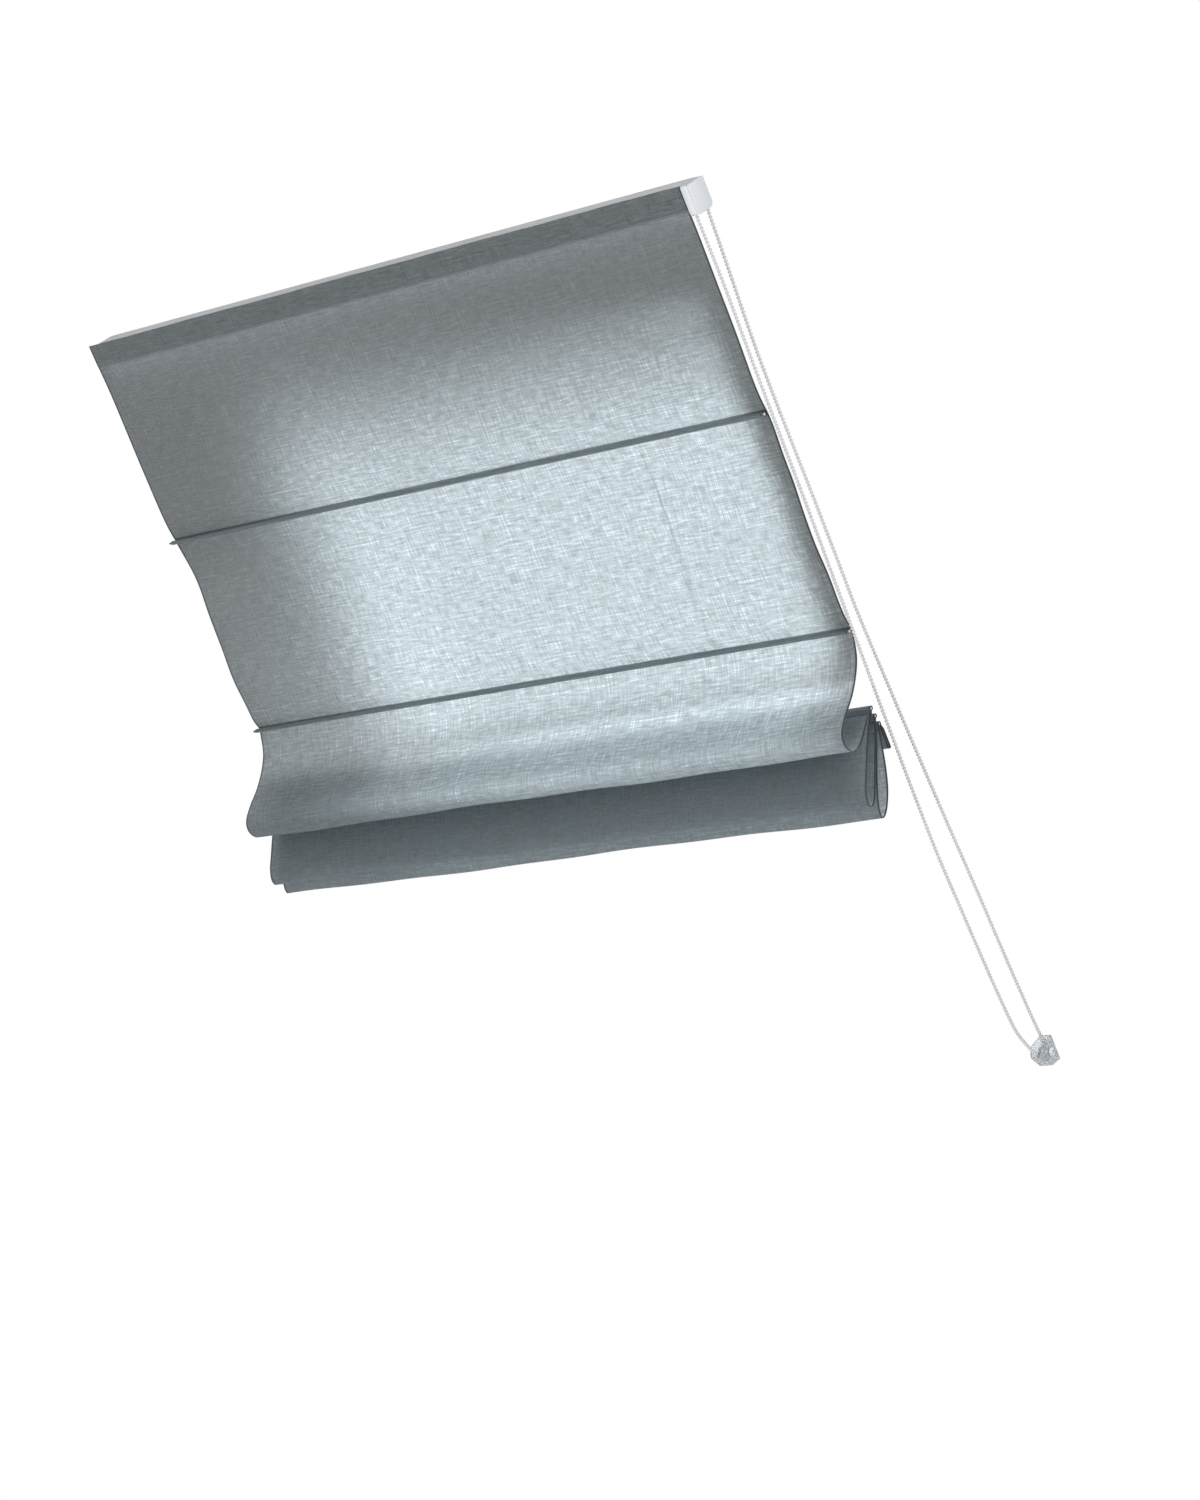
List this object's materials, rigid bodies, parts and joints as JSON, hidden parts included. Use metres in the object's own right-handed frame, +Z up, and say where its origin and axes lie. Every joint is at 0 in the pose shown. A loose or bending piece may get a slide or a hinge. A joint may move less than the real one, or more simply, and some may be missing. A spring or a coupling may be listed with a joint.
{
  "type": "roof window blind",
  "caption": "Roman blind for a roof window: semi-transparent cloth on rods, gathered by cords from a headrail with a bead chain drive and a clear chain tensioner on the slope.",
  "frame": {"origin": "middle of the centre ceiling bracket's back face, on the sloping ceiling", "axes": "+X along the headrail towards the chain, +Z up, and the ceiling slopes down towards +Y at 55 degrees from level, with the room on the -Y side"},
  "size_m": [1.0324, 0.7112, 0.9802],
  "materials": {
    "cloth": "slate grey semi-transparent woven voile",
    "tape": "white hook tape",
    "white_rail": "satin white powder coat",
    "white_plastic": "satin white moulded plastic",
    "white_rod": "smooth white rod",
    "clear_plastic": "clear moulded plastic",
    "steel": "zinc plated",
    "shaft": "drawn rod",
    "aluminium": "mill finish",
    "chrome": "polished",
    "cord": "white braided cord",
    "chain": "white moulded beads on cord"
  },
  "bodies": {
    "root": {"headrail": "white_rail", "left_end_cap": "white_plastic", "shaft_bush": "clear_plastic", "ceiling_bracket_left": "steel", "ceiling_bracket_centre": "steel", "ceiling_bracket_right": "steel", "hook_tape": "tape", "top_hem": "cloth", "drive_housing": "white_plastic", "drive_cover": "white_plastic", "brake_spring": "steel", "drum_cradle_left": "white_plastic", "drum_cradle_right": "white_plastic", "lift_cord_left": "cord", "lift_cord_right": "cord", "bead_chain": "chain", "tensioner_body": "clear_plastic", "tensioner_screw": "chrome"},
    "shaft": {"drive_shaft": "shaft", "chain_wheel": "white_plastic", "cord_drum_left": "white_plastic", "cord_drum_right": "white_plastic"},
    "pulley": {"tensioner_pulley": "clear_plastic"},
    "rod_1": {"rod_1": "white_rod", "rod_pocket_1": "cloth", "cord_ring_1_left": "clear_plastic", "cord_ring_1_right": "clear_plastic"},
    "panel_1_upper": {"panel_1_upper": "cloth"},
    "panel_1_lower": {"panel_1_lower": "cloth"},
    "rod_2": {"rod_2": "white_rod", "rod_pocket_2": "cloth", "cord_ring_2_left": "clear_plastic", "cord_ring_2_right": "clear_plastic"},
    "panel_2_upper": {"panel_2_upper": "cloth"},
    "panel_2_lower": {"panel_2_lower": "cloth"},
    "rod_3": {"rod_3": "white_rod", "rod_pocket_3": "cloth", "cord_ring_3_left": "clear_plastic", "cord_ring_3_right": "clear_plastic"},
    "panel_3_upper": {"panel_3_upper": "cloth"},
    "panel_3_lower": {"panel_3_lower": "cloth"},
    "rod_4": {"rod_4": "white_rod", "rod_pocket_4": "cloth", "cord_ring_4_left": "clear_plastic", "cord_ring_4_right": "clear_plastic"},
    "panel_4_upper": {"panel_4_upper": "cloth"},
    "panel_4_lower": {"panel_4_lower": "cloth"},
    "rod_5": {"rod_5": "white_rod", "rod_pocket_5": "cloth", "cord_stop_left": "clear_plastic", "cord_stop_right": "clear_plastic", "hem_flap": "cloth", "bottom_bar": "aluminium"},
    "panel_5_upper": {"panel_5_upper": "cloth"},
    "panel_5_lower": {"panel_5_lower": "cloth"}
  },
  "joints": [
    {"name": "rod_1_slide", "type": "slide", "parent": "root", "child": "rod_1", "axis": [0, 0.5736, -0.8192], "range_m": [-0.248, 0], "deforming": ["lift_cord_left", "lift_cord_right"]},
    {"name": "rod_2_slide", "type": "slide", "parent": "rod_1", "child": "rod_2", "axis": [0, 0.5736, -0.8192], "range_m": [-0.2725, 0], "deforming": ["lift_cord_left", "lift_cord_right"]},
    {"name": "rod_3_slide", "type": "slide", "parent": "rod_2", "child": "rod_3", "axis": [0, 0.5736, -0.8192], "range_m": [-0.0835, 0.155], "deforming": ["lift_cord_left", "lift_cord_right"]},
    {"name": "rod_4_slide", "type": "slide", "parent": "rod_3", "child": "rod_4", "axis": [0, 0.5736, -0.8192], "range_m": [0, 0.2385], "deforming": ["lift_cord_left", "lift_cord_right"]},
    {"name": "rod_5_slide", "type": "slide", "parent": "rod_4", "child": "rod_5", "axis": [0, 0.5736, -0.8192], "range_m": [0, 0.2385], "deforming": ["lift_cord_left", "lift_cord_right"]},
    {"name": "panel_1_upper_fold", "type": "slide", "parent": "root", "child": "panel_1_upper", "axis": [0, 0.9996, 0.0272], "range_m": [-0.1335, 0], "deforming": ["panel_1_upper"]},
    {"name": "panel_1_lower_fold", "type": "slide", "parent": "rod_1", "child": "panel_1_lower", "axis": [0, -0.0448, 0.999], "range_m": [-0.2075, 0], "deforming": ["panel_1_lower"]},
    {"name": "panel_2_upper_fold", "type": "slide", "parent": "rod_1", "child": "panel_2_upper", "axis": [0, 0.994, 0.1091], "range_m": [-0.1316, 0], "deforming": ["panel_2_upper"]},
    {"name": "panel_2_lower_fold", "type": "slide", "parent": "rod_2", "child": "panel_2_lower", "axis": [0, -0.1089, 0.994], "range_m": [-0.2394, 0], "deforming": ["panel_2_lower"]},
    {"name": "panel_3_upper_fold", "type": "slide", "parent": "rod_2", "child": "panel_3_upper", "axis": [0, 1, 0.009], "range_m": [-0.0481, 0.0888], "deforming": ["panel_3_upper"]},
    {"name": "panel_3_lower_fold", "type": "slide", "parent": "rod_3", "child": "panel_3_lower", "axis": [0, -0.0046, 1], "range_m": [-0.0693, 0.1283], "deforming": ["panel_3_lower"]},
    {"name": "panel_4_upper_fold", "type": "slide", "parent": "rod_3", "child": "panel_4_upper", "axis": [0, 0.9732, 0.2299], "range_m": [0, 0.0776], "deforming": ["panel_4_upper"]},
    {"name": "panel_4_lower_fold", "type": "slide", "parent": "rod_4", "child": "panel_4_lower", "axis": [0, -0.2785, 0.9604], "range_m": [0, 0.2224], "deforming": ["panel_4_lower"]},
    {"name": "panel_5_upper_fold", "type": "slide", "parent": "rod_4", "child": "panel_5_upper", "axis": [0, 0.947, 0.3212], "range_m": [0, 0.063], "deforming": ["panel_5_upper"]},
    {"name": "panel_5_lower_fold", "type": "slide", "parent": "rod_5", "child": "panel_5_lower", "axis": [0, -0.3389, 0.9408], "range_m": [0, 0.2295], "deforming": ["panel_5_lower"]},
    {"name": "shaft_turn", "type": "hinge", "parent": "root", "child": "shaft", "pos_m": [0, -0.01552, -0.01392], "axis": [1, 0, 0], "range_deg": [-615, 1140]},
    {"name": "pulley_turn", "type": "hinge", "parent": "root", "child": "pulley", "pos_m": [0.5195, 0.65204, -0.95318], "axis": [1, 0, 0], "range_deg": [-951, 1764]}
  ],
  "couplings": [
    {"joint": "panel_1_upper_fold", "follows": "rod_1_slide", "ratio": 0.5364},
    {"joint": "panel_1_lower_fold", "follows": "rod_1_slide", "ratio": 0.83458},
    {"joint": "panel_2_upper_fold", "follows": "rod_2_slide", "ratio": 0.48092},
    {"joint": "panel_2_lower_fold", "follows": "rod_2_slide", "ratio": 0.87686},
    {"joint": "panel_3_upper_fold", "follows": "rod_3_slide", "ratio": 0.56981},
    {"joint": "panel_3_lower_fold", "follows": "rod_3_slide", "ratio": 0.82431},
    {"joint": "panel_4_upper_fold", "follows": "rod_4_slide", "ratio": 0.32311},
    {"joint": "panel_4_lower_fold", "follows": "rod_4_slide", "ratio": 0.93027},
    {"joint": "panel_5_upper_fold", "follows": "rod_5_slide", "ratio": 0.26209},
    {"joint": "panel_5_lower_fold", "follows": "rod_5_slide", "ratio": 0.96015},
    {"joint": "shaft_turn", "follows": "rod_3_slide", "rad_per_m": 128.21},
    {"joint": "pulley_turn", "follows": "rod_3_slide", "rad_per_m": 198.41}
  ]
}
